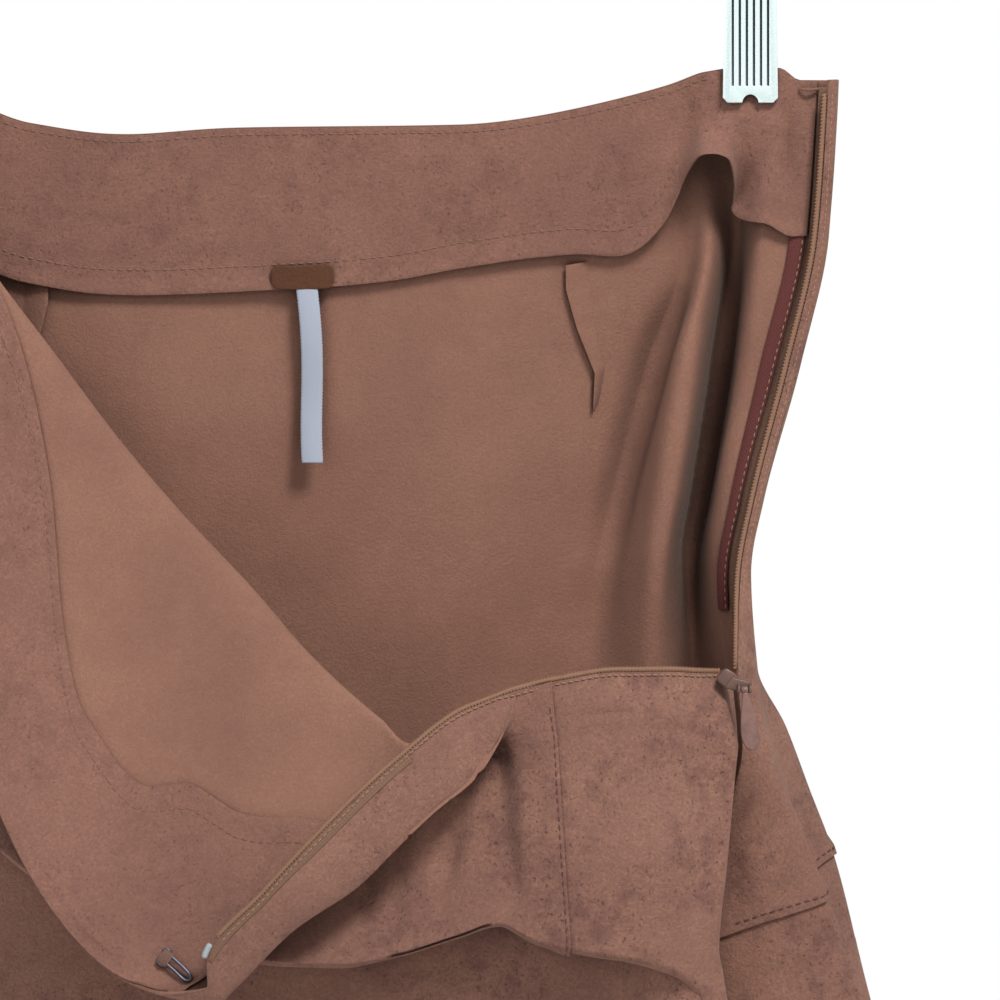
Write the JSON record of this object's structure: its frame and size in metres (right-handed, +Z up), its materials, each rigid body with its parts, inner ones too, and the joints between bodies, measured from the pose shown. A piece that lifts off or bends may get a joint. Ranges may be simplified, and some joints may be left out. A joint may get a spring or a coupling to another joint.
{
  "type": "tiered mini skirt on a clip hanger",
  "caption": "Short faux-suede skirt in lapped tiers, clipped to a plain hanger, its side zip open and the front flopped over.",
  "frame": {"origin": "the hanger hook's bearing point, under the top of its wire, on the hanger's middle line", "axes": "+Z up, +X to the viewer's right along the waist, and the side that is viewed faces -Y"},
  "size_m": [0.4167, 0.1167, 0.5473],
  "materials": {
    "suede": "faux suede, napped, brown with darker mottles",
    "suede_inside": "faux suede's plain reverse",
    "zip_tape": "woven tape",
    "zip_coil": "nylon coil",
    "binding": "rust-red woven binding",
    "tab_rose": "satin paint, dusty rose",
    "label_brown": "woven, bare",
    "ribbon_blue": "pale woven ribbon, bare",
    "clip_steel": "bright plated steel",
    "dark_steel": "dark enamelled wire",
    "stop_white": "pale moulded stop"
  },
  "bodies": {
    "skirt": {"back_panel": "suede", "back_tier": "suede", "back_facing": "suede", "dart_right": "suede_inside", "dart_left": "suede_inside", "front_yoke": "suede", "front_tier_1": "suede", "front_tier_2": "suede", "front_facing": "suede", "zip_tape_back": "zip_tape", "zip_coil_back": "zip_coil", "zip_tape_front": "zip_tape", "zip_coil_front": "zip_coil", "zip_top_stop": "stop_white", "zip_slider": "tab_rose", "seam_binding": "binding", "waist_hook": "dark_steel", "thread_eye": "suede_inside", "label_loop": "label_brown", "care_ribbon": "ribbon_blue", "hanger_bar": "clip_steel", "hanger_hook": "clip_steel", "clip_right_front": "clip_steel", "clip_right_back": "clip_steel", "clip_right_pin": "clip_steel", "clip_left_front": "clip_steel", "clip_left_back": "clip_steel", "clip_left_pin": "clip_steel"},
    "pull_tab": {"zip_pull_tab": "tab_rose"}
  },
  "joints": [
    {"name": "tab_swing", "type": "hinge", "parent": "skirt", "child": "pull_tab", "pos_m": [0.1446, -0.041, -0.3486], "axis": [-1, 0, 0], "range_deg": [0, 150]}
  ]
}
